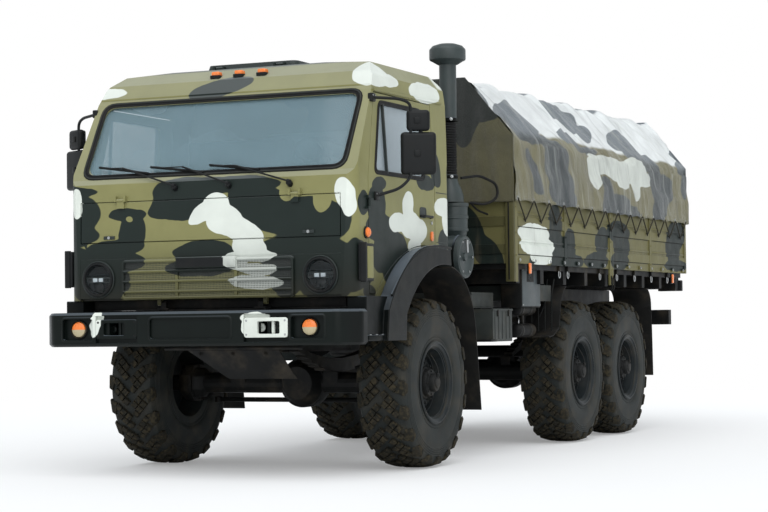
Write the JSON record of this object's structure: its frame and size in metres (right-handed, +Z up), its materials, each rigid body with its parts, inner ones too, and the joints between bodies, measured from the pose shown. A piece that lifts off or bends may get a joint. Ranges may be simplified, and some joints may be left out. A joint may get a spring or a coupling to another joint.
{
  "type": "military cargo truck",
  "caption": "Three-axle off-road cargo truck with a forward cab, drop-side load bed under a laced tarpaulin, spare wheel behind the cab and a raised air intake.",
  "frame": {"origin": "on the ground below the middle of the whole length", "axes": "+Z up, the front faces -Y, the vehicle's left is +X"},
  "size_m": [3.0302, 8.1, 3.25],
  "materials": {
    "cab_paint": "matt camouflage paint, khaki with dark green and pale grey patches",
    "body_paint": "matt camouflage paint on pressed boards",
    "chassis_paint": "black chassis paint with dust",
    "bumper_paint": "dark slate paint",
    "wheel_paint": "black paint with dust",
    "tyre_rubber": "dusty black rubber",
    "trim_rubber": "black rubber",
    "tarp_cloth": "woven canvas in camouflage colours",
    "window_glass": "clear glass",
    "lamp_lens": "lamp lenses in dark housings",
    "black_plastic": "black moulded plastic",
    "seat_cover": "dark woven seat cover",
    "steel": "bare worn steel",
    "box_paint": "grey paint"
  },
  "bodies": {
    "chassis": {"frame": "chassis_paint", "leaf_springs": "steel", "front_axle": "chassis_paint", "rear_axles": "chassis_paint", "engine": "steel", "driveline": "chassis_paint", "front_bumper": "bumper_paint", "chassis_lamps": "lamp_lens", "cargo_floor": "chassis_paint", "cargo_boards": "body_paint", "tarpaulin": "tarp_cloth", "tarp_bows": "chassis_paint", "mudguards": "trim_rubber", "mudguards_front": "trim_rubber", "trunnion": "chassis_paint", "side_boxes": "box_paint", "air_tanks": "box_paint", "fuel_tank": "box_paint", "exhaust": "steel", "air_intake": "black_plastic", "spare_carrier": "chassis_paint", "spare_tyre": "tyre_rubber", "spare_rim": "wheel_paint"},
    "cab": {"cab_shell": "cab_paint", "cab_glass": "window_glass", "grille_panel": "cab_paint", "cab_lamps": "lamp_lens", "cab_arches": "cab_paint", "dashboard": "black_plastic", "seat_bases": "chassis_paint", "seat_pads": "seat_cover", "wipers": "black_plastic"},
    "door_left": {"door_left": "cab_paint", "door_glass_left": "window_glass", "mirror_left": "black_plastic"},
    "door_right": {"door_right": "cab_paint", "door_glass_right": "window_glass", "mirror_right": "black_plastic"},
    "front_flap": {"front_flap": "cab_paint"},
    "roof_hatch": {"roof_hatch": "cab_paint"},
    "steering_wheel": {"steering_wheel": "black_plastic"},
    "tailgate": {"tailgate": "body_paint"},
    "knuckle_left": {"knuckle_left": "chassis_paint"},
    "knuckle_right": {"knuckle_right": "chassis_paint"},
    "tie_rod": {"tie_rod": "chassis_paint"},
    "wheel_front_left": {"tyre_front_left": "tyre_rubber", "rim_front_left": "wheel_paint"},
    "wheel_front_right": {"tyre_front_right": "tyre_rubber", "rim_front_right": "wheel_paint"},
    "wheel_middle_left": {"tyre_middle_left": "tyre_rubber", "rim_middle_left": "wheel_paint"},
    "wheel_middle_right": {"tyre_middle_right": "tyre_rubber", "rim_middle_right": "wheel_paint"},
    "wheel_rear_left": {"tyre_rear_left": "tyre_rubber", "rim_rear_left": "wheel_paint"},
    "wheel_rear_right": {"tyre_rear_right": "tyre_rubber", "rim_rear_right": "wheel_paint"}
  },
  "joints": [
    {"name": "steer_left", "type": "hinge", "parent": "chassis", "child": "knuckle_left", "pos_m": [0.79, -2.55, 0.622], "axis": [0, 0, 1], "range_deg": [-30, 30]},
    {"name": "steer_right", "type": "hinge", "parent": "chassis", "child": "knuckle_right", "pos_m": [-0.79, -2.55, 0.622], "axis": [0, 0, 1], "range_deg": [-30, 30]},
    {"name": "tie_rod_end", "type": "hinge", "parent": "knuckle_left", "child": "tie_rod", "pos_m": [0.79, -2.21, 0.479], "axis": [0, 0, 1], "range_deg": [-30, 30]},
    {"name": "spin_front_left", "type": "hinge", "parent": "knuckle_left", "child": "wheel_front_left", "pos_m": [1.03, -2.55, 0.622], "axis": [1, 0, 0], "continuous": true},
    {"name": "spin_front_right", "type": "hinge", "parent": "knuckle_right", "child": "wheel_front_right", "pos_m": [-1.03, -2.55, 0.622], "axis": [1, 0, 0], "continuous": true},
    {"name": "spin_middle_left", "type": "hinge", "parent": "chassis", "child": "wheel_middle_left", "pos_m": [1.03, 0.79, 0.622], "axis": [1, 0, 0], "continuous": true},
    {"name": "spin_middle_right", "type": "hinge", "parent": "chassis", "child": "wheel_middle_right", "pos_m": [-1.03, 0.79, 0.622], "axis": [1, 0, 0], "continuous": true},
    {"name": "spin_rear_left", "type": "hinge", "parent": "chassis", "child": "wheel_rear_left", "pos_m": [1.03, 2.11, 0.622], "axis": [1, 0, 0], "continuous": true},
    {"name": "spin_rear_right", "type": "hinge", "parent": "chassis", "child": "wheel_rear_right", "pos_m": [-1.03, 2.11, 0.622], "axis": [1, 0, 0], "continuous": true},
    {"name": "cab_tilt", "type": "hinge", "parent": "chassis", "child": "cab", "pos_m": [0, -3.72, 1.222], "axis": [1, 0, 0], "range_deg": [0, 45]},
    {"name": "door_left_swing", "type": "hinge", "parent": "cab", "child": "door_left", "pos_m": [1.162, -3.576, 1.66], "axis": [0, 0, -1], "range_deg": [0, 70]},
    {"name": "door_right_swing", "type": "hinge", "parent": "cab", "child": "door_right", "pos_m": [-1.162, -3.576, 1.66], "axis": [0, 0, 1], "range_deg": [0, 70]},
    {"name": "front_flap_lift", "type": "hinge", "parent": "cab", "child": "front_flap", "pos_m": [0, -3.808, 1.966], "axis": [-1, 0, 0], "range_deg": [0, 85]},
    {"name": "roof_hatch_lift", "type": "hinge", "parent": "cab", "child": "roof_hatch", "pos_m": [0, -3.124, 2.964], "axis": [1, 0, 0], "range_deg": [0, 30]},
    {"name": "steering_wheel_turn", "type": "hinge", "parent": "cab", "child": "steering_wheel", "pos_m": [0.65, -3.21, 2.285], "axis": [0, 0.4226, 0.9063], "range_deg": [-600, 600]},
    {"name": "tailgate_drop", "type": "hinge", "parent": "chassis", "child": "tailgate", "pos_m": [0, 4.04, 1.532], "axis": [-1, 0, 0], "range_deg": [0, 170]}
  ],
  "couplings": [
    {"joint": "steer_right", "follows": "steer_left", "ratio": 1},
    {"joint": "tie_rod_end", "follows": "steer_left", "ratio": -1},
    {"joint": "steering_wheel_turn", "follows": "steer_left", "ratio": 20}
  ]
}
